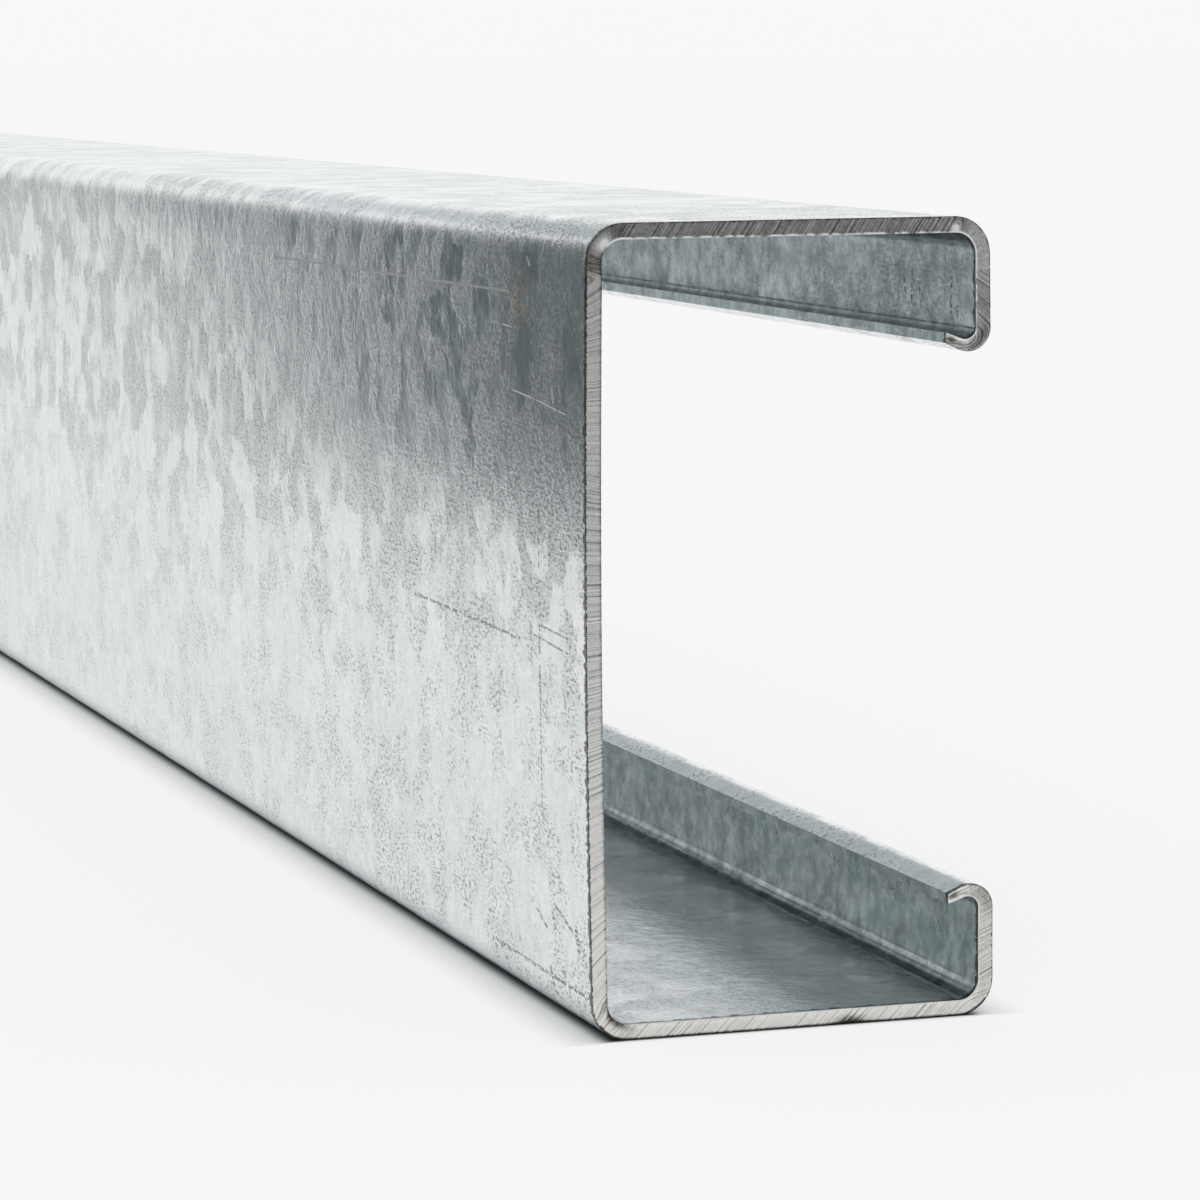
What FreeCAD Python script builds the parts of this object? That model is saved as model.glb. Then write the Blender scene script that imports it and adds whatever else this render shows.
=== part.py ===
"""Lipped C purlin, cold rolled in one piece from a galvanised steel strip.

Lengths are in millimetres. The stock runs along Y and rests on its lower flange, on the plane
Z = 0. The web stands upright on the -X side and the section opens towards +X. The origin is the
middle of the foot of the bounding box.

The section goes from the web round a flange to a lip, and ends in a return: the strip rolled
over at the lip's crest, so that it hooks back into the section and thins towards its edge. The
upper half is the mirror image of the lower one.
"""

import FreeCAD
import Part
import Sketcher
import math
import os

# The driving dimensions: alias, value and meaning. Lengths are in mm, and slopes in degrees.
DIMENSIONS = [
    ("stock_length", 3000.0, "cut length"),
    ("web_depth", 150.0, "over the outer faces of the two flanges"),
    ("flange_width", 80.0, "over the outer faces of the web and a lip"),
    ("lip_depth", 25.0, "outer face of the flange to the crest of the return"),
    ("strip_gauge", 3.0, "thickness of the strip"),
    ("bend_radius", 4.0, "inside radius of the web and lip bends"),
    ("return_bore", 2.2, "inside radius of the return's bend"),
    ("return_gauge", 2.3, "thickness of the strip where the return begins to fall"),
    ("return_width", 9.0, "outer face of the lip to the strip's edge"),
    ("return_slope", 25.0, "fall of the return's outer face towards the edge"),
    ("return_taper", 5.0, "angle between the return's two faces"),
]

# Sketcher's numbers for a curve's first point, last point and centre, for the sketch's origin
# and for its horizontal axis.
FIRST, LAST, CENTRE = 1, 2, 3
ORIGIN = (-1, 1)
LEVEL_AXIS = -1


def add_sheet(doc):
    """The spreadsheet whose cells hold the driving dimensions."""
    sheet = doc.addObject("Spreadsheet::Sheet", "dimensions")
    for row, (alias, value, meaning) in enumerate(DIMENSIONS, start=1):
        sheet.set(f"A{row}", alias)
        sheet.set(f"B{row}", str(value))
        sheet.set(f"C{row}", meaning)
        sheet.setAlias(f"B{row}", alias)
    doc.recompute()
    return sheet


def origin_plane(body, role):
    """One of the body's own origin planes."""
    return next(f for f in body.Origin.OriginFeatures if f.Role == role)


def half_outline(sheet):
    """The lower half of the section as a closed loop of named curves, with the section's middle
    at (0, 0): down the web, round to the strip's edge and back along the inside."""
    half_width = sheet.flange_width / 2
    half_depth = sheet.web_depth / 2
    inside = sheet.bend_radius
    outside = sheet.bend_radius + sheet.strip_gauge
    bend_y = outside - half_depth
    crest_outside = sheet.return_bore + sheet.return_gauge
    crest_y = sheet.lip_depth - crest_outside - half_depth
    edge_x = half_width - sheet.return_width
    over = 90 + sheet.return_slope
    over_inside = over - sheet.return_taper

    def arc(x, y, radius, start, end):
        """An arc about (x, y) that runs anticlockwise from one angle to another, in degrees."""
        circle = Part.Circle(FreeCAD.Vector(x, y, 0), FreeCAD.Vector(0, 0, 1), radius)
        return Part.ArcOfCircle(circle, math.radians(start), math.radians(end))

    def line(start, end):
        return Part.LineSegment(start, end)

    def down_to(start, x, slope):
        """Where a line from start that falls towards -X at a slope reaches x."""
        return FreeCAD.Vector(x, start.y - (start.x - x) * math.tan(math.radians(slope)), 0)

    heel = arc(outside - half_width, bend_y, outside, 180, 270)
    toe = arc(half_width - outside, bend_y, outside, 270, 360)
    crest = arc(half_width - crest_outside, crest_y, crest_outside, 0, over)
    crest_in_x = half_width - sheet.strip_gauge - sheet.return_bore
    crest_in = arc(crest_in_x, crest_y, sheet.return_bore, 0, over_inside)
    toe_in = arc(half_width - outside, bend_y, inside, 270, 360)
    heel_in = arc(outside - half_width, bend_y, inside, 180, 270)
    edge_top = down_to(crest.EndPoint, edge_x, sheet.return_slope)
    edge_foot = down_to(crest_in.EndPoint, edge_x, over_inside - 90)
    web_top = FreeCAD.Vector(-half_width, 0, 0)
    web_in_top = FreeCAD.Vector(sheet.strip_gauge - half_width, 0, 0)
    return {
        "web": line(web_top, heel.StartPoint),
        "heel": heel,
        "flange": line(heel.EndPoint, toe.StartPoint),
        "toe": toe,
        "lip": line(toe.EndPoint, crest.StartPoint),
        "crest": crest,
        "return": line(crest.EndPoint, edge_top),
        "edge": line(edge_top, edge_foot),
        "return_in": line(edge_foot, crest_in.EndPoint),
        "crest_in": crest_in,
        "lip_in": line(crest_in.StartPoint, toe_in.EndPoint),
        "toe_in": toe_in,
        "flange_in": line(toe_in.StartPoint, heel_in.EndPoint),
        "heel_in": heel_in,
        "web_in": line(heel_in.StartPoint, web_in_top),
        "middle": line(web_in_top, web_top),
    }


def add_half_section(body, sheet):
    """The sketch of the section's lower half, fully constrained and bound to the sheet."""
    sketch = body.newObject("Sketcher::SketchObject", "half_section")
    sketch.AttachmentSupport = (origin_plane(body, "XZ_Plane"), [""])
    sketch.MapMode = "FlatFace"
    curve = {name: sketch.addGeometry(shape, False) for name, shape in half_outline(sheet).items()}

    def hold(kind, *values):
        """Adds a constraint. A curve is given by its name."""
        return sketch.addConstraint(Sketcher.Constraint(kind, *(curve.get(v, v) for v in values)))

    def bind(name, formula, kind, *values):
        """Adds a named dimension that follows a formula in the sheet's aliases."""
        value = sketch.evalExpression(formula)
        number = value if isinstance(value, (int, float)) else math.radians(value.Value)
        sketch.renameConstraint(hold(kind, *values, number), name)
        sketch.setExpression(f"Constraints.{name}", formula)

    # Straight runs and bends meet tangentially, and the strip's edge and the cut at mid depth
    # meet their neighbours at corners.
    for ends in [
        ("web", LAST, "heel", FIRST),
        ("heel", LAST, "flange", FIRST),
        ("flange", LAST, "toe", FIRST),
        ("toe", LAST, "lip", FIRST),
        ("lip", LAST, "crest", FIRST),
        ("crest", LAST, "return", FIRST),
        ("return_in", LAST, "crest_in", LAST),
        ("crest_in", FIRST, "lip_in", FIRST),
        ("lip_in", LAST, "toe_in", LAST),
        ("toe_in", FIRST, "flange_in", FIRST),
        ("flange_in", LAST, "heel_in", LAST),
        ("heel_in", FIRST, "web_in", FIRST),
    ]:
        hold("Tangent", *ends)
    for ends in [
        ("return", LAST, "edge", FIRST),
        ("edge", LAST, "return_in", FIRST),
        ("web_in", LAST, "middle", FIRST),
        ("middle", LAST, "web", FIRST),
    ]:
        hold("Coincident", *ends)
    for name in ("web", "web_in", "lip", "lip_in", "edge"):
        hold("Vertical", name)
    for name in ("flange", "flange_in", "middle"):
        hold("Horizontal", name)
    hold("PointOnObject", "web", FIRST, LEVEL_AXIS)

    half_width = "dimensions.flange_width / 2"
    gauge = "dimensions.strip_gauge"
    inside = "dimensions.bend_radius"
    outside = "dimensions.bend_radius + dimensions.strip_gauge"
    crest_outside = "dimensions.return_bore + dimensions.return_gauge"
    crest_height = "dimensions.lip_depth - dimensions.return_bore - dimensions.return_gauge"
    slope = "dimensions.return_slope * 1 deg"
    inner_slope = "(dimensions.return_slope - dimensions.return_taper) * 1 deg"
    bind("web_from_middle", half_width, "DistanceX", "web", LAST, *ORIGIN)
    bind("lip_from_middle", half_width, "DistanceX", *ORIGIN, "lip", FIRST)
    bind("flange_from_middle", "dimensions.web_depth / 2", "DistanceY", "flange", FIRST, *ORIGIN)
    bind("web_gauge", gauge, "DistanceX", "web", FIRST, "web_in", LAST)
    bind("flange_gauge", gauge, "DistanceY", "flange", LAST, "flange_in", FIRST)
    bind("lip_gauge", gauge, "DistanceX", "lip_in", FIRST, "lip", LAST)
    bind("heel_outside", outside, "Radius", "heel")
    bind("toe_outside", outside, "Radius", "toe")
    bind("heel_inside", inside, "Radius", "heel_in")
    bind("toe_inside", inside, "Radius", "toe_in")
    bind("crest_outside", crest_outside, "Radius", "crest")
    bind("crest_inside", "dimensions.return_bore", "Radius", "crest_in")
    bind("crest_height", crest_height, "DistanceY", "flange", LAST, "crest", CENTRE)
    bind("crest_in_height", crest_height, "DistanceY", "flange", LAST, "crest_in", CENTRE)
    bind("return_reach", "dimensions.return_width", "DistanceX", "return", LAST, "lip", LAST)
    bind("outer_slope", slope, "Angle", "flange", FIRST, "return", LAST)
    bind("inner_slope", inner_slope, "Angle", "flange_in", LAST, "return_in", FIRST)
    return sketch


def add_purlin(doc, sheet):
    """The purlin: the half section padded both ways from mid length, and mirrored at mid depth."""
    body = doc.addObject("PartDesign::Body", "purlin")
    body.Label = "purlin"
    sketch = add_half_section(body, sheet)
    doc.recompute()
    pad = body.newObject("PartDesign::Pad", "lower_half")
    pad.Profile = sketch
    pad.SideType = "Symmetric"
    pad.setExpression("Length", "dimensions.stock_length")
    mirror = body.newObject("PartDesign::Mirrored", "both_halves")
    mirror.Originals = [pad]
    mirror.MirrorPlane = (origin_plane(body, "XY_Plane"), [""])
    mirror.Refine = True
    body.Tip = mirror
    body.setExpression("Placement.Base.z", "dimensions.web_depth / 2")
    return body


def check(doc, sketch):
    """Stops the build if anything failed or the section is loose."""
    failed = [o.Label for o in doc.Objects if {"Invalid", "Error"} & set(o.State)]
    if failed:
        raise RuntimeError(f"not built: {failed}")
    if sketch.solve() != 0 or not sketch.FullyConstrained:
        raise RuntimeError("the section's sketch isn't fully constrained")


def write(body):
    """Writes the body's solid to parts/, under its label."""
    shape = body.Shape
    if shape.isNull() or not shape.isValid() or len(shape.Solids) != 1:
        raise RuntimeError(f"{body.Label} isn't one valid solid")
    os.makedirs("parts", exist_ok=True)
    shape.exportStep(f"parts/{body.Label}.step")
    kilos = shape.Volume * 7.85e-6
    print(f"{body.Label}: {shape.BoundBox}, {shape.Volume:.0f} mm3, {kilos:.2f} kg of steel")


document = FreeCAD.newDocument("c_purlin")
purlin = add_purlin(document, add_sheet(document))
document.recompute()
check(document, document.getObject("half_section"))
write(purlin)
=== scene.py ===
"""A 3 m length of lipped C purlin, cold rolled from galvanised strip and sawn to length."""

import math

import bpy
import numpy as np
from mathutils import Matrix, Vector


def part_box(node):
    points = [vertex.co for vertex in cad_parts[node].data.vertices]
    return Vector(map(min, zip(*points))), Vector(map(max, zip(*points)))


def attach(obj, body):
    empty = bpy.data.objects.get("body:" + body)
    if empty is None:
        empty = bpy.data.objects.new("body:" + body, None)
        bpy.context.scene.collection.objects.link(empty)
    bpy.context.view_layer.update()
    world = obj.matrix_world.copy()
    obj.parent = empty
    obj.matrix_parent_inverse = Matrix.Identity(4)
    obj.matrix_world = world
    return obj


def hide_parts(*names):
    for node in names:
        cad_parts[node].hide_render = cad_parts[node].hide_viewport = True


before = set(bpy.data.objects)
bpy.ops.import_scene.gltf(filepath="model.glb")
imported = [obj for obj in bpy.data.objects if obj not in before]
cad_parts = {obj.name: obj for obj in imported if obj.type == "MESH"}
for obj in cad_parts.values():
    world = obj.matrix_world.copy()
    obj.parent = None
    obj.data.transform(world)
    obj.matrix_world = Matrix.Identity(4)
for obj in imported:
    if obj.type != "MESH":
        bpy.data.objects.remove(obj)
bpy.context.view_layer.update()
low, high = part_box("purlin")

# Lengths in the mesh code are in millimetres. The stock's width, depth and length come from the CAD
# part's box, and the rest of the section is the strip's own.
MM = 0.001
HALF_WIDTH = (high.x - low.x) / MM / 2
DEPTH = (high.z - low.z) / MM
HALF_LENGTH = (high.y - low.y) / MM / 2
STRIP = 3.0
BEND = 4.0
LIP = 25.0
RETURN_BORE = 2.2
RETURN_GAUGE = 2.3
RETURN_WIDTH = 9.0
RETURN_SLOPE = 25.0
RETURN_TAPER = 5.0

# Where the cut face's rows of points lie through the strip: 0 is its outer face, 1 its inner one.
CAP_ROWS = np.array([0.0, 0.06, 0.2, 0.4, 0.6, 0.8, 0.92, 1.0])
# Distances from the cut, in mm, of the finely divided rows and of the first coarse ones.
RIM_ROWS = [0.65, 1.5]
NEAR_ROWS = [3.5, 8, 15, 25, 38, 55, 80, 110]
LONG_ROWS = 84
ZINC, STEEL = 0, 1
# How far the cut stands behind the box's end, and how far its burr comes back towards it, in mm.
CUT_BACK = 0.2
BURR = 0.17
# Where the burr starts, as a share of the way through the strip.
BURR_FROM = 0.86


def smooth_noise(position, pitch, seed):
    """Smooth noise from -1 to 1 along a line. The pitch is in the position's unit."""
    table = np.random.default_rng(seed).uniform(-1, 1, 4096)
    place = np.asarray(position) / pitch + 1000.0
    cell = np.floor(place).astype(int)
    share = place - cell
    share = share * share * (3 - 2 * share)
    return table[cell % 4096] * (1 - share) + table[(cell + 1) % 4096] * share


def bump_at(position, centre, reach):
    """A rounded hump of height 1 about a centre."""
    return np.exp(-((np.asarray(position) - centre) / reach) ** 2)


# ---------------------------------------------------------------- section


def arc_run(centre, radius, start, end):
    """A bend from one angle to another, in degrees, as a function that gives its points."""
    def points(count):
        turn = np.radians(np.linspace(start, end, count, endpoint=False))
        return np.array(centre) + radius * np.column_stack([np.cos(turn), np.sin(turn)])
    return points


def straight_run(start, end):
    """A straight stretch, as a function that gives its points."""
    def points(count):
        share = np.linspace(0, 1, count, endpoint=False)[:, None]
        return np.array(start) * (1 - share) + np.array(end) * share
    return points


def return_tip(centre, radius, over, edge_x):
    """Where a face of the return leaves its bend, and where it meets the strip's edge."""
    turn = math.radians(over)
    leave = (centre[0] + radius * math.cos(turn), centre[1] + radius * math.sin(turn))
    tip = (edge_x, leave[1] - (leave[0] - edge_x) * math.tan(turn - math.pi / 2))
    return leave, tip


class Section:
    """The section as columns through the strip, from the lower strip edge round to the upper one.
    Each column has an outer and an inner point. The long mesh keeps only some of them."""

    def __init__(self):
        outside = BEND + STRIP
        face_in = HALF_WIDTH - STRIP
        crest_radius = RETURN_BORE + RETURN_GAUGE
        crest_z = LIP - crest_radius
        crest = (HALF_WIDTH - crest_radius, crest_z)
        crest_in = (face_in - RETURN_BORE, crest_z)
        over = 90 + RETURN_SLOPE
        over_in = over - RETURN_TAPER
        edge_x = HALF_WIDTH - RETURN_WIDTH
        leave, tip = return_tip(crest, crest_radius, over, edge_x)
        leave_in, tip_in = return_tip(crest_in, RETURN_BORE, over_in, edge_x)
        toe = (HALF_WIDTH - outside, outside)
        heel = (outside - HALF_WIDTH, outside)
        middle = DEPTH / 2
        # Name, coarse cells, fine cells in each of them, outer points and inner points.
        runs = [
            ("return", 2, 5, straight_run(tip, leave), straight_run(tip_in, leave_in)),
            ("crest", 10, 3, arc_run(crest, crest_radius, over, 0),
             arc_run(crest_in, RETURN_BORE, over_in, 0)),
            ("lip", 4, 12, straight_run((HALF_WIDTH, crest_z), (HALF_WIDTH, outside)),
             straight_run((face_in, crest_z), (face_in, outside))),
            ("toe", 8, 4, arc_run(toe, outside, 0, -90), arc_run(toe, BEND, 0, -90)),
            ("flange", 12, 18, straight_run((toe[0], 0), (heel[0], 0)),
             straight_run((toe[0], STRIP), (heel[0], STRIP))),
            ("heel", 8, 4, arc_run(heel, outside, -90, -180), arc_run(heel, BEND, -90, -180)),
            ("web", 10, 22, straight_run((-HALF_WIDTH, outside), (-HALF_WIDTH, middle)),
             straight_run((-face_in, outside), (-face_in, middle))),
        ]
        outer = np.vstack([points(cells * fine) for _, cells, fine, points, _ in runs])
        inner = np.vstack([points(cells * fine) for _, cells, fine, _, points in runs])
        keep = np.concatenate([np.arange(cells * fine) % fine == 0 for _, cells, fine, *_ in runs])
        self.outer = self.both_halves(outer, (-HALF_WIDTH, middle))
        self.inner = self.both_halves(inner, (-face_in, middle))
        self.keep = np.concatenate([keep, [True], keep[::-1]])
        self.columns = len(self.outer)
        centre = (self.outer + self.inner) / 2
        steps = np.linalg.norm(np.diff(centre, axis=0), axis=1)
        self.along = np.concatenate([[0], np.cumsum(steps)])
        self.length = self.along[-1]
        # Where each run of the lower half starts.
        first = np.cumsum([0] + [cells * fine for _, cells, fine, *_ in runs])
        self.start = {run[0]: self.along[column] for run, column in zip(runs, first)}

    @staticmethod
    def both_halves(lower, middle):
        """The lower half's points, the middle one, and their mirror image above it."""
        return np.vstack([lower, [middle], lower[::-1] * [1, -1] + [0, DEPTH]])

    def upper(self, name):
        """Where a run of the upper half ends, counted from the lower strip edge."""
        return self.length - self.start[name]

    def loop(self):
        """The outline's points, how far round it they lie, and which of them the long mesh keeps.
        It goes up the outer face, over the strip's upper edge, down the inner face and over the
        lower edge."""
        share = CAP_ROWS[1:-1, None]
        upper_edge = self.outer[-1] * (1 - share) + self.inner[-1] * share
        lower_edge = self.outer[0] * (1 - share) + self.inner[0] * share
        points = np.vstack([self.outer, upper_edge, self.inner[::-1], lower_edge[::-1]])
        steps = np.linalg.norm(np.diff(points, axis=0), axis=1)
        distance = np.concatenate([[0], np.cumsum(steps)])
        kept = np.flatnonzero(self.keep)
        edge = np.arange(len(share))
        inner = self.columns + len(edge)
        kept_on_loop = np.concatenate([
            kept, self.columns + edge, inner + self.columns - 1 - kept[::-1],
            inner + self.columns + edge])
        return points, distance, kept_on_loop


def as_rolled(x, y, z):
    """Moves points of the true section to where rolling and sawing left them, always inside the
    true section's box: the web bows out between its bends, the upper lip leans in, and both do
    so most near the cuts, where the stock's own stress is let go."""
    from_cut = HALF_LENGTH - np.abs(y)
    spring = 0.3 + 0.7 * np.exp(-from_cut / 150)
    to_web = (HALF_WIDTH - x) / (2 * HALF_WIDTH)
    height = z / DEPTH
    bow = 0.9 * (1 - np.sin(math.pi * height)) * to_web
    lean = 0.9 * height ** 2 * (1 - to_web)
    wave = 0.15 * (1 + smooth_noise(y, 190, 3)) * np.sin(math.pi * height) * to_web
    return x + (bow - lean) * spring + wave


# ---------------------------------------------------------------- mesh


class Mesh:
    """Points, faces, and the values that the materials read at each point."""

    def __init__(self):
        self.points = []
        names = ("round", "along", "inward", "saw", "across", "burr_and_highlight", "painted_light_and_dirt")
        self.values = {name: [] for name in names}
        self.faces = []
        self.finish = []
        self.count = 0

    def add_points(self, x, y, z, **values):
        """Adds points, in mm, with their values, and returns their numbers."""
        shape = np.shape(x)
        place = [np.broadcast_to(v, shape).ravel() for v in (x, y, z)]
        self.points.append(np.column_stack(place))
        for name, stored in self.values.items():
            stored.append(np.broadcast_to(values.get(name, 0.0), shape).ravel())
        self.count += len(place[0])
        return np.arange(self.count - len(place[0]), self.count).reshape(shape)

    def add_faces(self, faces, finish, flip):
        """Adds faces of one finish, turned over where flip is true."""
        faces = np.asarray(faces)
        self.faces += (faces[:, ::-1] if flip else faces).tolist()
        self.finish += [finish] * len(faces)

    def join(self, first, second, flip):
        """A band of quads between two closed loops of as many points."""
        quads = [first, np.roll(first, -1), np.roll(second, -1), second]
        self.add_faces(np.column_stack(quads), ZINC, flip)

    def thin_out(self, fine, coarse, kept, flip):
        """A band of triangles from a fine loop to the coarse one made of its kept points."""
        faces = []
        for i, here in enumerate(coarse):
            following = coarse[(i + 1) % len(coarse)]
            stop = kept[i + 1] if i + 1 < len(kept) else kept[0] + len(fine)
            middle = (kept[i] + stop) // 2
            for k in range(kept[i], stop):
                far = here if k < middle else following
                faces.append((fine[k], fine[(k + 1) % len(fine)], far))
            faces.append((fine[middle % len(fine)], following, here))
        self.add_faces(faces, ZINC, flip)

    def made(self, name, outline_length, strip_length):
        """The finished Blender mesh, in metres, with its layout for baking."""
        points = np.vstack(self.points)
        values = {value: np.concatenate(stored) for value, stored in self.values.items()}
        layout = self.bake_layout(points[:, 1], values, outline_length, strip_length)
        points[:, 0] = as_rolled(*points.T)
        mesh = bpy.data.meshes.new(name)
        mesh.from_pydata((points * MM).tolist(), [], self.faces)
        mesh.polygons.foreach_set("material_index", self.finish)
        mesh.polygons.foreach_set("use_smooth", [True] * len(self.faces))
        mesh.set_sharp_from_angle(angle=math.radians(40))
        for value, stored in values.items():
            mesh.attributes.new(value, "FLOAT", "POINT").data.foreach_set("value", stored)
        mesh.uv_layers.new(name="OFBake").data.foreach_set("uv", layout.ravel())
        mesh.update()
        return mesh

    def bake_layout(self, y, values, outline_length, strip_length):
        """The strip unrolled: round the outline across the map and along the stock up it, with
        more room near the cuts. The two cut faces stand unrolled in narrow columns beside it."""
        corners = np.concatenate([np.array(face) for face in self.faces])
        sizes = np.array([len(face) for face in self.faces])
        starts = np.concatenate([[0], np.cumsum(sizes)[:-1]])
        around = values["round"][corners]
        furthest = np.repeat(np.maximum.reduceat(around, starts), sizes)
        around = np.where(furthest - around > outline_length / 2, around + outline_length, around)
        y = y[corners]
        room = 80.0
        from_cut = np.maximum(HALF_LENGTH - np.abs(y), 0)
        share = np.log1p(from_cut / room) / math.log1p(HALF_LENGTH / room)
        side = np.column_stack([
            0.004 + 0.916 * around / outline_length,
            0.5 + np.sign(y) * (0.496 - 0.496 * share)])
        column = np.where(y < 0, 0.93, 0.966)
        cut = np.column_stack([
            column + 0.028 * values["inward"][corners],
            0.004 + 0.992 * values["along"][corners] / strip_length])
        is_cut = np.repeat(np.array(self.finish) == STEEL, sizes)
        return np.where(is_cut[:, None], cut, side)


def saw_line_angle(height):
    """The angle of the saw's marks on the cut face, in degrees from level, at a height in mm."""
    return np.interp(height, [0, 7, 22, 60, 105, 140, 150], [47, 38, 28, 10, -9, 25, 62])


def cut_face(section, side):
    """The places, depths and values over a cut face, with a row for each of CAP_ROWS and a column
    for each of the section's. side is -1 at the end in front and 1 at the other."""
    share = CAP_ROWS[:, None]
    x = section.outer[:, 0] * (1 - share) + section.inner[:, 0] * share
    z = section.outer[:, 1] * (1 - share) + section.inner[:, 1] * share
    along = np.broadcast_to(section.along, x.shape)
    inward = np.broadcast_to(share, x.shape)
    slant = np.radians(saw_line_angle((section.outer[:, 1] + section.inner[:, 1]) / 2))
    across = x * np.sin(slant) - z * np.cos(slant)
    saw = 0.6 * smooth_noise(across, 0.8, 21 + side) + 0.4 * smooth_noise(across, 0.37, 31 + side)

    # The burr stands up along the inner edge, where the blade left the strip. Its value also paints
    # a white highlight in the steel's colour there, raised at the bends.
    ragged = 0.5 + 0.5 * smooth_noise(along, 0.7, 41 + side)
    turns = [section.start["crest"] + 4, section.start["toe"] + 4,
             section.upper("heel") - 4, section.upper("toe") - 4]
    burr_and_highlight_at_bends = sum(bump_at(along, place, 4.5) for place in turns)
    burr_and_highlight = np.clip((inward - BURR_FROM) / 0.1, 0, 1)
    burr_and_highlight *= np.clip(0.25 + 0.75 * ragged + burr_and_highlight_at_bends, 0, 1)
    dirt = bump_at(along, section.start["heel"] + 4.5, 4.0)
    on_web = x < STRIP + 1 - HALF_WIDTH
    on_lips = x > HALF_WIDTH - STRIP - 1.5
    burr_and_highlight *= (1 - dirt) * np.where(on_web, 0.3, 1)
    rolled_edge = np.clip(1 - inward / 0.05, 0, 1) * (1 + smooth_noise(along, 1.3, 51 + side))
    depth = CUT_BACK + 0.03 * saw - BURR * burr_and_highlight + 0.06 * rolled_edge
    # The returns tear rather than cut, which leaves a hollow behind their inner edge, painted
    # bright as a highlight.
    tear = bump_at(along, 1.4, 1.8) + bump_at(along, section.length - 1.4, 1.8)
    depth += 0.7 * tear * bump_at(inward, 0.55, 0.24)
    nick = bump_at(along, section.start["flange"] + 22, 3.0) * bump_at(inward, 0.05, 0.45)
    depth += 0.35 * nick

    # The tone is painted light and shade: the cut is lighter towards its bottom and darker towards
    # its top, and the lips have a lower tone of their own, darker towards their top.
    painted_light_and_dirt = np.interp(z / DEPTH, [0, 0.1, 0.5, 0.93, 0.96, 1], [0.7, 0.8, 0.6, 0.5, -0.35, -0.4])
    lip_painted_light = np.interp(z / DEPTH, [0, 0.2, 0.8, 1], [0.4, 0.45, 0.15, -0.1])
    painted_light_and_dirt = np.where(on_lips, lip_painted_light, painted_light_and_dirt)
    # Painted shade darkens the tears' hollows and the nick.
    painted_light_and_dirt -= 1.3 * tear * bump_at(inward, 0.5, 0.35) + 2.5 * nick
    # The cut is darker at both crests, at both heels and at the upper end of the web.
    from_upper_edge = section.length - along
    for from_edge in (along, from_upper_edge):
        crest = bump_at(from_edge, section.start["crest"] + 4.5, 3.5)
        painted_light_and_dirt -= 0.8 * crest * bump_at(inward, 0.35, 0.4)
        painted_light_and_dirt -= 0.5 * bump_at(from_edge, section.start["heel"] + 0.5, 2.0)
    painted_light_and_dirt -= 0.9 * bump_at(from_upper_edge, section.start["web"] + 0.5, 2.0)
    # Painted highlights: white spots at the upper heel and toe.
    painted_light_and_dirt += 2.2 * bump_at(along, section.upper("heel") - 4.5, 1.7) * bump_at(inward, 0.7, 0.35)
    painted_light_and_dirt += 2.2 * bump_at(along, section.upper("toe") - 8.5, 1.2) * bump_at(inward, 0.7, 0.3)
    # Dirt lies in the lower heel and along the web's inner edge. A painted contact shadow runs as a
    # thin dark line along the lower flange's outer edge.
    painted_light_and_dirt -= 2.2 * dirt * bump_at(inward, 0.95, 0.3)
    painted_light_and_dirt -= 1.6 * np.clip((inward - BURR_FROM) / (1 - BURR_FROM), 0, 1) * on_web
    painted_light_and_dirt -= 4.0 * np.clip(1 - inward / 0.16, 0, 1) * (z < 0.02 * DEPTH)
    return x, z, depth, {
        "along": along, "inward": inward, "saw": saw, "across": across, "burr_and_highlight": burr_and_highlight, "painted_light_and_dirt": painted_light_and_dirt}


def add_end(mesh, section, side):
    """Adds a cut end: its face, and the strip behind it as far as a coarse row of points, whose
    numbers it returns."""
    cut = side * HALF_LENGTH
    flip = side > 0
    outline, distance, kept = section.loop()
    x, z, depth, values = cut_face(section, side)
    rows, columns = np.indices(x.shape)
    rim = np.concatenate([
        np.column_stack([rows[0], columns[0]]),
        np.column_stack([rows[1:-1, -1], columns[1:-1, -1]]),
        np.column_stack([rows[-1, ::-1], columns[-1, ::-1]]),
        np.column_stack([rows[-2:0:-1, 0], columns[-2:0:-1, 0]]),
    ])
    values["round"] = np.zeros(x.shape)
    values["round"][rim[:, 0], rim[:, 1]] = distance
    face = mesh.add_points(x, cut - side * depth, z, **values)
    quads = np.stack([face[:-1, :-1], face[1:, :-1], face[1:, 1:], face[:-1, 1:]], axis=-1)
    mesh.add_faces(quads.reshape(-1, 4), STEEL, flip)
    row = face[rim[:, 0], rim[:, 1]]
    # From the cut face's rim, two fine rows lead to the coarse ones.
    for back in RIM_ROWS:
        behind = mesh.add_points(outline[:, 0], cut - side * back, outline[:, 1], round=distance)
        mesh.join(row, behind, flip)
        row = behind
    back = cut - side * NEAR_ROWS[0]
    coarse = mesh.add_points(outline[kept, 0], back, outline[kept, 1], round=distance[kept])
    mesh.thin_out(row, coarse, kept, flip)
    return coarse


def purlin_stock():
    """The whole length as one closed mesh, finely divided at its two cuts."""
    section = Section()
    outline, distance, kept = section.loop()
    mesh = Mesh()
    row = add_end(mesh, section, -1)
    far_row = add_end(mesh, section, 1)
    near = HALF_LENGTH - np.array(NEAR_ROWS)
    long_run = np.linspace(-near[-1], near[-1], LONG_ROWS)
    stations = np.concatenate([-near[1:], long_run[1:-1], near[:0:-1]])
    for y in stations:
        following = mesh.add_points(outline[kept, 0], y, outline[kept, 1], round=distance[kept])
        mesh.join(row, following, False)
        row = following
    mesh.join(row, far_row, False)
    closing = np.linalg.norm(outline[0] - outline[-1])
    return mesh.made("purlin_stock", distance[-1] + closing, section.length)


# ---------------------------------------------------------------- materials


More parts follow.
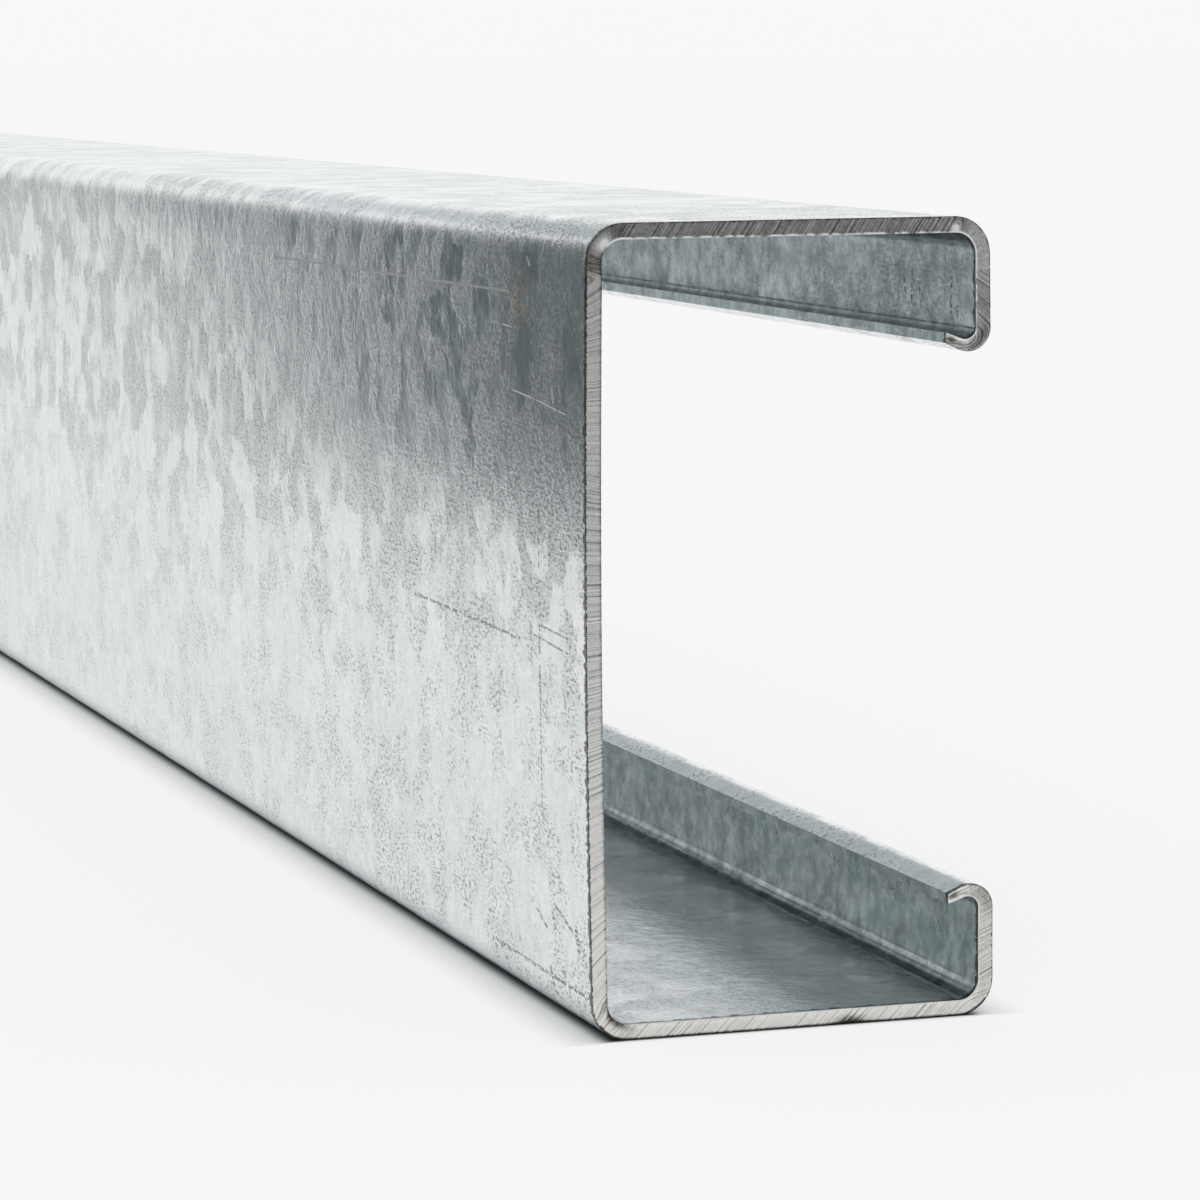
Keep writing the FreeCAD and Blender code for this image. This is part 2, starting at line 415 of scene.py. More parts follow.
def linear(code):
    """An sRGB hex colour as linear red, green, blue and alpha."""
    channels = [int(code[i:i + 2], 16) / 255 for i in (1, 3, 5)]
    return [c / 12.92 if c <= 0.04045 else ((c + 0.055) / 1.055) ** 2.4 for c in channels] + [1]


def add(tree, kind, settings=None, inputs=None):
    """Adds a node with its settings, and links or sets its inputs, given by name or number."""
    node = tree.nodes.new("ShaderNode" + kind)
    for name, value in (settings or {}).items():
        setattr(node, name, value)
    for name, value in (inputs or {}).items():
        if isinstance(value, bpy.types.NodeSocket):
            tree.links.new(value, node.inputs[name])
        else:
            node.inputs[name].default_value = value
    return node


def new_tree(name):
    """A new material and its empty node tree."""
    material = bpy.data.materials.new(name)
    material.use_nodes = True
    material.node_tree.nodes.clear()
    return material, material.node_tree


# The zinc's patterns: a grain of spangle, the gap between a fern's arms, the frost's crystals,
# and the mottles, streaks and blotches of the bath, all of about their real sizes.
GRAIN_MM = 10.0
FERN_MM = 1.3
FROST_MM = 0.7
MOTTLE_MM = 3.5
STREAK_MM = 7.0
BLOTCH_MM = 9.0
# The depth of the zinc's relief.
RELIEF_MM = 0.038


def strip_place(section, x, z, back):
    """The point of the strip's surface nearest to x, z on the section, at a distance back from
    the near cut, all in mm. It is given in the strip's own plane, in metres."""
    outline, distance, _ = section.loop()
    nearest = np.argmin(np.hypot(outline[:, 0] - x, outline[:, 1] - z))
    return Vector((distance[nearest] * MM, (back - HALF_LENGTH) * MM, 0))


def scratch(tree, flat, start, end, width):
    """How deep in a straight scratch a point lies: 1 on its line, 0 at its width."""
    run = end - start
    offset = add(tree, "VectorMath", {"operation": "SUBTRACT"}, {0: flat, 1: start})
    share = add(tree, "VectorMath", {"operation": "DOT_PRODUCT"}, {
        0: offset.outputs[0], 1: run / run.length_squared})
    held = add(tree, "Clamp", inputs={0: share.outputs["Value"]})
    nearest = add(tree, "VectorMath", {"operation": "SCALE"}, {0: run, "Scale": held.outputs[0]})
    gap = add(tree, "VectorMath", {"operation": "DISTANCE"}, {
        0: offset.outputs[0], 1: nearest.outputs[0]})
    depth = add(tree, "MapRange", inputs={
        "Value": gap.outputs["Value"], "From Min": width * MM, "From Max": width * MM * 0.3})
    return depth.outputs[0]


def strongest(tree, masks):
    """The strongest of several masks at each point."""
    result = masks[0]
    for mask in masks[1:]:
        result = add(tree, "Math", {"operation": "MAXIMUM"}, {0: result, 1: mask}).outputs[0]
    return result


def hot_dip_zinc(section):
    """Hot-dip galvanising: a bath of molten zinc that froze on the strip in grains, the spangle.
    Each grain lies at its own slight tilt. Some froze smooth and mirror the room, and some grew
    frost-like ferns full of dark pits, so the eye sees soft blotches and fine dark speckle."""
    material, tree = new_tree("hot_dip_zinc")
    # The strip's own plane: how far round the section, and how far along the stock, in metres.
    around = add(tree, "Attribute", {"attribute_name": "round"})
    around_m = add(tree, "Math", {"operation": "MULTIPLY"}, {0: around.outputs["Fac"], 1: MM})
    place = add(tree, "TexCoord")
    place_parts = add(tree, "SeparateXYZ", inputs={0: place.outputs["Object"]})
    plane = add(tree, "CombineXYZ", inputs={
        "X": around_m.outputs[0], "Y": place_parts.outputs["Y"]})
    flat = plane.outputs[0]

    stir = add(tree, "TexNoise", {"noise_dimensions": "2D"}, {
        "Vector": flat, "Scale": 1 / (GRAIN_MM * 0.5 * MM), "Detail": 5.0, "Roughness": 0.65})
    stir_out = add(tree, "VectorMath", {"operation": "SUBTRACT"}, {
        0: stir.outputs["Color"], 1: (0.5, 0.5, 0.5)})
    stirred = add(tree, "VectorMath", {"operation": "MULTIPLY_ADD"}, {
        0: stir_out.outputs[0], 1: (GRAIN_MM * MM,) * 3, 2: flat})
    grain = add(tree, "TexVoronoi", {"voronoi_dimensions": "2D", "feature": "SMOOTH_F1"}, {
        "Vector": stirred.outputs[0], "Scale": 1 / (GRAIN_MM * MM), "Smoothness": 0.35})
    crystal = add(tree, "TexVoronoi", {"voronoi_dimensions": "2D"}, {
        "Vector": stirred.outputs[0], "Scale": 1 / (GRAIN_MM * MM)})
    way_up = add(tree, "SeparateColor", inputs={0: crystal.outputs["Color"]})
    lot = add(tree, "SeparateColor", inputs={0: grain.outputs["Color"]})
    turn = add(tree, "Math", {"operation": "MULTIPLY"}, {0: way_up.outputs[0], 1: 2 * math.pi})
    turned = add(tree, "VectorRotate", {"rotation_type": "Z_AXIS"}, {
        "Vector": stirred.outputs[0], "Angle": turn.outputs[0]})
    # A wave's band is 0.314 of its scale's unit wide.
    fern = add(tree, "TexWave", {"wave_profile": "TRI"}, {
        "Vector": turned.outputs[0], "Scale": 0.314 / (FERN_MM * MM), "Distortion": 7.0,
        "Detail": 3.0, "Detail Scale": 1.4})
    # The mill's skin pass drew the frost out along the strip.
    drawn = add(tree, "VectorMath", {"operation": "MULTIPLY"}, {0: flat, 1: (1, 0.4, 1)})
    frost = add(tree, "TexNoise", {"noise_dimensions": "2D"}, {
        "Vector": drawn.outputs[0], "Scale": 1 / (FROST_MM * MM), "Detail": 2.0, "Roughness": 0.6})
    blotch = add(tree, "TexNoise", {"noise_dimensions": "2D"}, {
        "Vector": flat, "Scale": 1 / (BLOTCH_MM * MM), "Detail": 4.0})

    _, distance, _ = section.loop()
    inside = add(tree, "Math", {"operation": "GREATER_THAN"}, {
        0: around.outputs["Fac"], 1: distance[section.columns]})
    from_middle = add(tree, "Math", {"operation": "ABSOLUTE"}, {0: place_parts.outputs["Y"]})

    # The coating is heaviest on the upper half near the cuts.
    near_cut = add(tree, "MapRange", {"interpolation_type": "SMOOTHSTEP"}, {
        "Value": from_middle.outputs[0], "From Min": high.y - 0.1, "From Max": high.y - 0.035})
    up_web = add(tree, "MapRange", {"interpolation_type": "SMOOTHSTEP"}, {
        "Value": place_parts.outputs["Z"], "From Min": 0.078, "From Max": 0.108})
    heavy = add(tree, "Math", {"operation": "MULTIPLY"}, {
        0: near_cut.outputs[0], 1: up_web.outputs[0]})
    # Dark pits, most of them in the frosted grains and where the coating is heavy. The strip's
    # inner side has fewer of them, and so has the long middle.
    cold = add(tree, "Math", {"operation": "MULTIPLY_ADD"}, {
        0: lot.outputs[2], 1: 0.3, 2: blotch.outputs[0]})
    colder = add(tree, "Math", {"operation": "MULTIPLY_ADD"}, {
        0: heavy.outputs[0], 1: 0.16, 2: cold.outputs[0]})
    frosted = add(tree, "MapRange", {"interpolation_type": "SMOOTHSTEP"}, {
        "Value": colder.outputs[0], "From Min": 0.52, "From Max": 0.82, "To Min": 0.1})
    pitted = add(tree, "Math", {"operation": "MULTIPLY_ADD"}, {
        0: fern.outputs["Fac"], 1: 0.3, 2: frost.outputs[0]})
    deeper = add(tree, "Math", {"operation": "MULTIPLY_ADD"}, {
        0: heavy.outputs[0], 1: 0.08, 2: pitted.outputs[0]})
    pit = add(tree, "MapRange", inputs={
        "Value": deeper.outputs[0], "From Min": 0.72, "From Max": 0.79})
    outer_share = add(tree, "MapRange", {"interpolation_type": "SMOOTHSTEP"}, {
        "Value": from_middle.outputs[0], "From Min": high.y - 0.45, "From Max": high.y - 0.08,
        "To Min": 0.3, "To Max": 0.75})
    inner_loss = add(tree, "Math", {"operation": "MULTIPLY"}, {0: inside.outputs[0], 1: 0.4})
    pit_share = add(tree, "Math", {"operation": "SUBTRACT", "use_clamp": True}, {
        0: outer_share.outputs[0], 1: inner_loss.outputs[0]})
    frosted_pit = add(tree, "Math", {"operation": "MULTIPLY"}, {
        0: pit.outputs[0], 1: frosted.outputs[0]})
    pits = add(tree, "Math", {"operation": "MULTIPLY"}, {
        0: frosted_pit.outputs[0], 1: pit_share.outputs[0]})

    # Marks of handling on the web near the cut, and dark runs on the upper lip's inner side.
    web, lip = -HALF_WIDTH, HALF_WIDTH - STRIP
    dark_marks = strongest(tree, [
        scratch(tree, flat, strip_place(section, *start), strip_place(section, *end), width)
        for start, end, width in [
            ((web, 74.1, 29), (web, 73.6, 11), 0.3),
            ((web, 71.8, 34), (web, 70.6, 11), 0.3),
            ((web, 70.6, 115), (web, 70.2, 41), 0.5),
            ((web, 96.0, 29), (web, 37.0, 28.6), 0.5),
            ((web, 22.0, 22), (web, 16.5, 4), 0.45),
            ((web, 19.4, 33), (web, 17.0, 27), 0.5),
            ((web, 20.5, 23.5), (web, 17.5, 21.5), 0.7),
            ((web, 19.5, 9), (web, 15.5, 7), 1.4),
            ((web, 9.5, 25), (web, 4.5, 22), 0.9),
            ((web, 10.5, 16), (web, 7.5, 14.5), 0.9),
            ((web, 8.5, 60), (web, 8.0, 2), 0.5),
            ((lip, 138.5, 32), (lip, 133.0, 32.5), 0.6),
            ((lip, 136.5, 36), (lip, 133.5, 35.5), 0.5),
            ((lip, 136.0, 28), (lip, 134.0, 28.5), 0.5),
            ((lip, 138.0, 12), (lip, 131.5, 12.5), 0.7),
            ((lip, 133.0, 9), (lip, 131.0, 9), 0.5),
        ]
    ])
    bright_marks = strongest(tree, [
        scratch(tree, flat, strip_place(section, *start), strip_place(section, *end), width)
        for start, end, width in [
            ((web, 117.0, 46), (web, 115.8, 27), 0.2),
            ((web, 115.8, 27), (web, 114.6, 12), 0.2),
            ((web, 129.0, 52), (web, 128.9, 46), 0.2),
            ((web, 125.0, 20.5), (web, 122.5, 21.5), 0.6),
            ((web, 118.6, 21), (web, 116.6, 20), 0.8),
            ((web, 142.5, 36.5), (web, 141.0, 35), 0.5),
        ]
    ])
    broken = add(tree, "MapRange", inputs={
        "Value": frost.outputs[0], "From Min": 0.4, "From Max": 0.55})
    dark_line = add(tree, "Math", {"operation": "MULTIPLY"}, {0: dark_marks, 1: broken.outputs[0]})

    # A rub line from the roll stands, and a few gold specks of old protective oil.
    rub_start = strip_place(section, web, 134.8, 230)
    rub = scratch(tree, flat, rub_start, strip_place(section, web, 135.5, 48), 0.3)
    oil_gap = add(tree, "VectorMath", {"operation": "DISTANCE"}, {
        0: flat, 1: strip_place(section, web, 134.0, 42)})
    oil_near = add(tree, "MapRange", inputs={
        "Value": oil_gap.outputs["Value"], "From Min": 9 * MM, "From Max": 3 * MM})
    oil_specks = add(tree, "MapRange", inputs={
        "Value": frost.outputs[0], "From Min": 0.54, "From Max": 0.6})
    oil_share = add(tree, "Math", {"operation": "MULTIPLY"}, {0: oil_near.outputs[0], 1: 0.6})
    oil = add(tree, "Math", {"operation": "MULTIPLY"}, {
        0: oil_share.outputs[0], 1: oil_specks.outputs[0]})

    # The blade burnt the zinc at the very edge of the cut, and chipped it here and there.
    chips = add(tree, "TexNoise", {"noise_dimensions": "1D"}, {
        "W": around.outputs["Fac"], "Scale": 0.45, "Detail": 4.0, "Roughness": 0.7})
    reach = add(tree, "Math", {"operation": "MULTIPLY_ADD"}, {
        0: chips.outputs[0], 1: -4.0 * MM, 2: (HALF_LENGTH + 0.6) * MM})
    edge = add(tree, "Math", {"operation": "SUBTRACT"}, {
        0: from_middle.outputs[0], 1: reach.outputs[0]})
    burnt = add(tree, "MapRange", inputs={
        "Value": edge.outputs[0], "From Min": 0.0, "From Max": 0.2 * MM})

    # Colour: bright zinc, a little dulled in some grains and mottled all over.
    mottle = add(tree, "TexNoise", {"noise_dimensions": "2D"}, {
        "Vector": flat, "Scale": 1 / (MOTTLE_MM * MM), "Detail": 4.0, "Roughness": 0.7})
    dull = add(tree, "Math", {"operation": "MULTIPLY_ADD"}, {
        0: lot.outputs[1], 1: 0.18, 2: mottle.outputs[0]})
    dullness = add(tree, "MapRange", inputs={
        "Value": dull.outputs[0], "From Min": 0.4, "From Max": 0.8})
    clean = add(tree, "Mix", {"data_type": "RGBA"}, {
        0: dullness.outputs[0], 6: linear("#e8ecec"), 7: linear("#d3d9da")})
    # The flanges' inner sides are the least flat, and the painted shade on the strip's inner side
    # leaves them out.
    surface = add(tree, "NewGeometry")
    facing_parts = add(tree, "SeparateXYZ", inputs={0: surface.outputs["Normal"]})
    upright = add(tree, "Math", {"operation": "ABSOLUTE"}, {0: facing_parts.outputs["Z"]})
    on_flange = add(tree, "MapRange", inputs={
        "Value": upright.outputs[0], "From Min": 0.96, "From Max": 0.995})
    inner_flange = add(tree, "Math", {"operation": "MULTIPLY"}, {
        0: on_flange.outputs[0], 1: inside.outputs[0]})

    # Painted shade: the lips' inner sides are darkened, in streaks.
    streak = add(tree, "TexNoise", {"noise_dimensions": "2D"}, {
        "Vector": flat, "Scale": 1 / (STREAK_MM * MM), "Detail": 5.0, "Roughness": 0.7})
    streaks = add(tree, "MapRange", inputs={
        "Value": streak.outputs[0], "From Min": 0.35, "From Max": 0.65, "To Min": 0.25})
    inner_lip = add(tree, "Math", {"operation": "SUBTRACT"}, {
        0: inside.outputs[0], 1: inner_flange.outputs[0]})
    inner_lip_shade = add(tree, "Math", {"operation": "MULTIPLY"}, {
        0: inner_lip.outputs[0], 1: streaks.outputs[0]})
    inner_lip_shaded = add(tree, "Mix", {"data_type": "RGBA", "blend_type": "MULTIPLY"}, {
        0: inner_lip_shade.outputs[0], 6: clean.outputs[2], 7: linear("#b9c1c4")})
    dark = add(tree, "Math", {"operation": "MAXIMUM"}, {
        0: pits.outputs[0], 1: dark_line.outputs[0]})
    darkness = add(tree, "Math", {"operation": "MULTIPLY"}, {0: dark.outputs[0], 1: 0.9})
    pit_colour = add(tree, "Mix", {"data_type": "RGBA"}, {
        0: heavy.outputs[0], 6: linear("#2f373b"), 7: linear("#0c1012")})
    speckled = add(tree, "Mix", {"data_type": "RGBA"}, {
        0: darkness.outputs[0], 6: inner_lip_shaded.outputs[2], 7: pit_colour.outputs[2]})
    oiled = add(tree, "Mix", {"data_type": "RGBA"}, {
        0: oil.outputs[0], 6: speckled.outputs[2], 7: linear("#e8b45a")})
    whitened = add(tree, "Math", {"operation": "MULTIPLY"}, {0: rub, 1: 0.28})
    lined = add(tree, "Mix", {"data_type": "RGBA"}, {
        0: whitened.outputs[0], 6: oiled.outputs[2], 7: linear("#efe9e4")})
    colour = add(tree, "Mix", {"data_type": "RGBA"}, {
        0: burnt.outputs[0], 6: lined.outputs[2], 7: linear("#1f1a17")})

    # Roughness: smooth grains mirror the room, and frosted ones soften it.
    roughness = add(tree, "MapRange", inputs={
        "Value": lot.outputs[2], "From Min": 0.2, "From Max": 0.9, "To Min": 0.12, "To Max": 0.2})
    duller_side = add(tree, "Math", {"operation": "MULTIPLY_ADD"}, {
        0: inside.outputs[0], 1: 0.03, 2: roughness.outputs[0]})
    lines = add(tree, "Math", {"operation": "MAXIMUM"}, {0: bright_marks, 1: rub})
    rough = add(tree, "Math", {"operation": "MULTIPLY_ADD"}, {
        0: lines.outputs[0], 1: 0.3, 2: duller_side.outputs[0]})

    # Relief: each grain's tilt, the ferns and the frost.
    lean = add(tree, "VectorMath", {"operation": "SUBTRACT"}, {
        0: grain.outputs["Color"], 1: (0.5, 0.5, 0.5)})
    tilted = add(tree, "VectorMath", {"operation": "MULTIPLY_ADD"}, {
        0: lean.outputs[0], 1: (0.008, 0.008, 0.008), 2: surface.outputs["Normal"]})
    facing = add(tree, "VectorMath", {"operation": "NORMALIZE"}, {0: tilted.outputs[0]})
    fern_relief = add(tree, "Math", {"operation": "MULTIPLY_ADD"}, {
        0: fern.outputs["Fac"], 1: 0.3, 2: frost.outputs[0]})
    # A heavy coating fills the frost's relief but not its pits.
    filled = add(tree, "MapRange", inputs={
        "Value": heavy.outputs[0], "To Min": 1.0, "To Max": 0.55})
    standing = add(tree, "Math", {"operation": "MULTIPLY"}, {
        0: frosted.outputs[0], 1: filled.outputs[0]})
    frost_relief = add(tree, "Math", {"operation": "MULTIPLY"}, {
        0: fern_relief.outputs[0], 1: standing.outputs[0]})
    waves = add(tree, "Math", {"operation": "MULTIPLY"}, {
        0: inner_flange.outputs[0], 1: streak.outputs[0]})
    wavy = add(tree, "Math", {"operation": "MULTIPLY_ADD"}, {
        0: waves.outputs[0], 1: 4.0, 2: frost_relief.outputs[0]})
    grown = add(tree, "Math", {"operation": "MULTIPLY_ADD"}, {
        0: mottle.outputs[0], 1: 0.9, 2: wavy.outputs[0]})
    scored = add(tree, "Math", {"operation": "MULTIPLY"}, {0: bright_marks, 1: 0.5})
    marked = add(tree, "Math", {"operation": "SUBTRACT"}, {
        0: grown.outputs[0], 1: scored.outputs[0]})
    bump = add(tree, "Bump", inputs={
        "Height": marked.outputs[0], "Normal": facing.outputs[0],
        "Strength": 1.0, "Distance": RELIEF_MM * MM})

    # Pits and burns hold oxide, which doesn't shine like the metal.
    oxide = add(tree, "Math", {"operation": "MAXIMUM"}, {
        0: darkness.outputs[0], 1: burnt.outputs[0]})
    metal = add(tree, "MapRange", inputs={"Value": oxide.outputs[0], "To Min": 1.0, "To Max": 0.15})
    shader = add(tree, "BsdfPrincipled", inputs={
        "Base Color": colour.outputs[2], "Metallic": metal.outputs[0],
        "Roughness": rough.outputs[0], "Normal": bump.outputs[0]})
    add(tree, "OutputMaterial", inputs={"Surface": shader.outputs[0]})
    return material


def bare_sawn_steel():
    """Mild steel left bare by the saw: grey-brown metal with ribs from the blade's teeth and
    painted shade in their grooves. Painted light and shade and dirt make it lighter or darker, and
    painted white highlights lie along the inner edge and at two bends."""
    material, tree = new_tree("bare_sawn_steel")
    saw = add(tree, "Attribute", {"attribute_name": "saw"})
    across = add(tree, "Attribute", {"attribute_name": "across"})
    along = add(tree, "Attribute", {"attribute_name": "along"})
    inward = add(tree, "Attribute", {"attribute_name": "inward"})
    burr_and_highlight = add(tree, "Attribute", {"attribute_name": "burr_and_highlight"})
    painted_light_and_dirt = add(tree, "Attribute", {"attribute_name": "painted_light_and_dirt"})
    teeth = add(tree, "TexNoise", {"noise_dimensions": "1D"}, {
        "W": across.outputs["Fac"], "Scale": 2.0, "Detail": 2.0, "Roughness": 0.9})
    place = add(tree, "TexCoord")
    pits = add(tree, "TexNoise", inputs={
        "Vector": place.outputs["Object"], "Scale": 1 / (0.6 * MM), "Detail": 2.0})
    marks = add(tree, "Math", {"operation": "MULTIPLY_ADD"}, {
        0: saw.outputs["Fac"], 1: 0.08, 2: teeth.outputs[0]})
    speckle = add(tree, "Math", {"operation": "MULTIPLY_ADD"}, {
        0: pits.outputs[0], 1: 0.35, 2: marks.outputs[0]})
    toned = add(tree, "Math", {"operation": "MULTIPLY_ADD"}, {
        0: painted_light_and_dirt.outputs["Fac"], 1: 0.3, 2: speckle.outputs[0]})
    light = add(tree, "MapRange", inputs={
        "Value": toned.outputs[0], "From Min": 0.3, "From Max": 0.88})
    colour = add(tree, "Mix", {"data_type": "RGBA"}, {
        0: light.outputs[0], 6: linear("#58524c"), 7: linear("#f3f1ed")})

    # Painted shade in the grooves left by the teeth.
    groove_shade = add(tree, "MapRange", inputs={
        "Value": teeth.outputs[0], "From Min": 0.44, "From Max": 0.34, "To Max": 0.3})
    groove_shaded = add(tree, "Mix", {"data_type": "RGBA"}, {
        0: groove_shade.outputs[0], 6: colour.outputs[2], 7: linear("#4d4741")})

    # Both edges of the cut are broken by dark chips, where zinc and steel tore apart.
    chips = add(tree, "TexNoise", {"noise_dimensions": "1D"}, {
        "W": along.outputs["Fac"], "Scale": 0.9, "Detail": 4.0, "Roughness": 0.75})
    from_centre = add(tree, "Math", {"operation": "SUBTRACT"}, {0: inward.outputs["Fac"], 1: 0.53})
    to_edge = add(tree, "Math", {"operation": "ABSOLUTE"}, {0: from_centre.outputs[0]})
    chipped = add(tree, "Math", {"operation": "MULTIPLY_ADD"}, {
        0: chips.outputs[0], 1: 0.25, 2: to_edge.outputs[0]})
    torn = add(tree, "MapRange", inputs={
        "Value": chipped.outputs[0], "From Min": 0.58, "From Max": 0.62, "To Max": 0.95})
    edged = add(tree, "Mix", {"data_type": "RGBA"}, {
        0: torn.outputs[0], 6: groove_shaded.outputs[2], 7: linear("#37302a")})
    # Painted highlights: the burr and the spots at the upper heel and toe turn near white and less
    # metallic.
    whitened = add(tree, "MapRange", inputs={
        "Value": painted_light_and_dirt.outputs["Fac"], "From Min": 0.8, "From Max": 1.3})
    bright = add(tree, "Math", {"operation": "MAXIMUM"}, {
        0: burr_and_highlight.outputs["Fac"], 1: whitened.outputs[0]})
    shine = add(tree, "MapRange", inputs={
        "Value": bright.outputs[0], "From Min": 0.2, "From Max": 0.55})
    final = add(tree, "Mix", {"data_type": "RGBA"}, {
        0: shine.outputs[0], 6: edged.outputs[2], 7: linear("#fbfaf8")})
    metal = add(tree, "MapRange", inputs={
        "Value": shine.outputs[0], "From Min": 0.1, "From Max": 0.8, "To Min": 1.0, "To Max": 0.2})
    bump = add(tree, "Bump", inputs={
        "Height": teeth.outputs[0], "Strength": 1.0, "Distance": 0.05 * MM})
    shader = add(tree, "BsdfPrincipled", inputs={
        "Base Color": final.outputs[2], "Metallic": metal.outputs[0], "Roughness": 0.42,
        "Normal": bump.outputs[0]})
    add(tree, "OutputMaterial", inputs={"Surface": shader.outputs[0]})
    return material


# ---------------------------------------------------------------- stage

# Where the sheet of paper ends, in metres: to the left of the stock, and in front of it. The
# left edge slants away from the stock.
SHEET_EDGE = 0.385
SHEET_FRONT = -2.1
SHEET_SLANT = 0.22
# How much of the paper's colour is plain, and so not shaded by the stock.
UNSHADED = 0.78
DARK_ROOM = "#596366"


def pale_sheet():
    """A pale sheet of paper on a darker studio floor. The paper's edges show only in the metal."""
    reach = 40.0
    mesh = bpy.data.meshes.new("floor")
    corners = [(-reach, -reach, 0), (reach, -reach, 0), (reach, reach, 0), (-reach, reach, 0)]
    mesh.from_pydata(corners, [], [(0, 1, 2, 3)])
    floor = bpy.data.objects.new("floor", mesh)
    bpy.context.scene.collection.objects.link(floor)
    material, tree = new_tree("pale_paper")
    place = add(tree, "TexCoord")
    parts = add(tree, "SeparateXYZ", inputs={0: place.outputs["Object"]})
    behind = add(tree, "Math", {"operation": "MAXIMUM"}, {0: parts.outputs["Y"], 1: -0.2})
    skew = add(tree, "Math", {"operation": "MULTIPLY_ADD"}, {
        0: behind.outputs[0], 1: SHEET_SLANT, 2: parts.outputs["X"]})
    left = add(tree, "MapRange", {"interpolation_type": "SMOOTHSTEP"}, {
        "Value": skew.outputs[0], "From Min": -SHEET_EDGE - 0.05, "From Max": -SHEET_EDGE + 0.05})
    front = add(tree, "MapRange", {"interpolation_type": "SMOOTHSTEP"}, {
        "Value": parts.outputs["Y"], "From Min": SHEET_FRONT - 0.3, "From Max": SHEET_FRONT + 0.3})
    on_sheet = add(tree, "Math", {"operation": "MULTIPLY"}, {
        0: left.outputs[0], 1: front.outputs[0]})
    path = add(tree, "LightPath")
    pale = add(tree, "Math", {"operation": "SUBTRACT", "use_clamp": True}, {
        0: 1.0, 1: path.outputs["Is Glossy Ray"]})
    share = add(tree, "Math", {"operation": "MAXIMUM"}, {
        0: on_sheet.outputs[0], 1: pale.outputs[0]})
    colour = add(tree, "Mix", {"data_type": "RGBA"}, {
        0: share.outputs[0], 6: linear(DARK_ROOM), 7: linear("#f8f8f8")})
    glow_colour = add(tree, "Mix", {"data_type": "RGBA"}, {
        0: share.outputs[0], 6: linear(DARK_ROOM), 7: linear("#fdfdfd")})
    glow = add(tree, "Emission", inputs={"Color": glow_colour.outputs[2], "Strength": 1.0})
    looked_at = add(tree, "Math", {"operation": "MAXIMUM"}, {
        0: path.outputs["Is Camera Ray"], 1: path.outputs["Is Glossy Ray"]})
    seen = add(tree, "Math", {"operation": "MULTIPLY"}, {0: looked_at.outputs[0], 1: UNSHADED})
    # Under the stock and just beside it the paper is only as bright as the light that gets there.
    sideways = add(tree, "Math", {"operation": "ABSOLUTE"}, {0: parts.outputs["X"]})
    endways = add(tree, "Math", {"operation": "ABSOLUTE"}, {0: parts.outputs["Y"]})
    clear_side = add(tree, "MapRange", {"interpolation_type": "SMOOTHSTEP"}, {
        "Value": sideways.outputs[0], "From Min": high.x - 0.006, "From Max": high.x + 0.009})
    clear_end = add(tree, "MapRange", {"interpolation_type": "SMOOTHSTEP"}, {
        "Value": endways.outputs[0], "From Min": high.y - 0.0005, "From Max": high.y + 0.002})
    clear = add(tree, "Math", {"operation": "MAXIMUM"}, {
        0: clear_side.outputs[0], 1: clear_end.outputs[0]})
    unshaded = add(tree, "Math", {"operation": "MULTIPLY"}, {
        0: seen.outputs[0], 1: clear.outputs[0]})
    # Painted contact shadow: the paper is painted dark where the stock rests on it.
    contact_shadow_side = add(tree, "MapRange", {"interpolation_type": "SMOOTHSTEP"}, {
        "Value": sideways.outputs[0], "From Min": high.x - 0.005, "From Max": high.x - 0.0015})
    contact_shadow_end = add(tree, "MapRange", {"interpolation_type": "SMOOTHSTEP"}, {
        "Value": endways.outputs[0], "From Min": high.y - 0.0005, "From Max": high.y + 0.001})
    outside_contact_shadow = add(tree, "Math", {"operation": "MAXIMUM"}, {
        0: contact_shadow_side.outputs[0], 1: contact_shadow_end.outputs[0]})
    contact_shadowed = add(tree, "Mix", {"data_type": "RGBA"}, {
        0: outside_contact_shadow.outputs[0], 6: linear("#565d60"), 7: colour.outputs[2]})
    paper = add(tree, "BsdfDiffuse", inputs={"Color": contact_shadowed.outputs[2]})
    surface = add(tree, "MixShader", inputs={
        0: unshaded.outputs[0], 1: paper.outputs[0], 2: glow.outputs[0]})
    add(tree, "OutputMaterial", inputs={"Surface": surface.outputs[0]})
    mesh.materials.append(material)


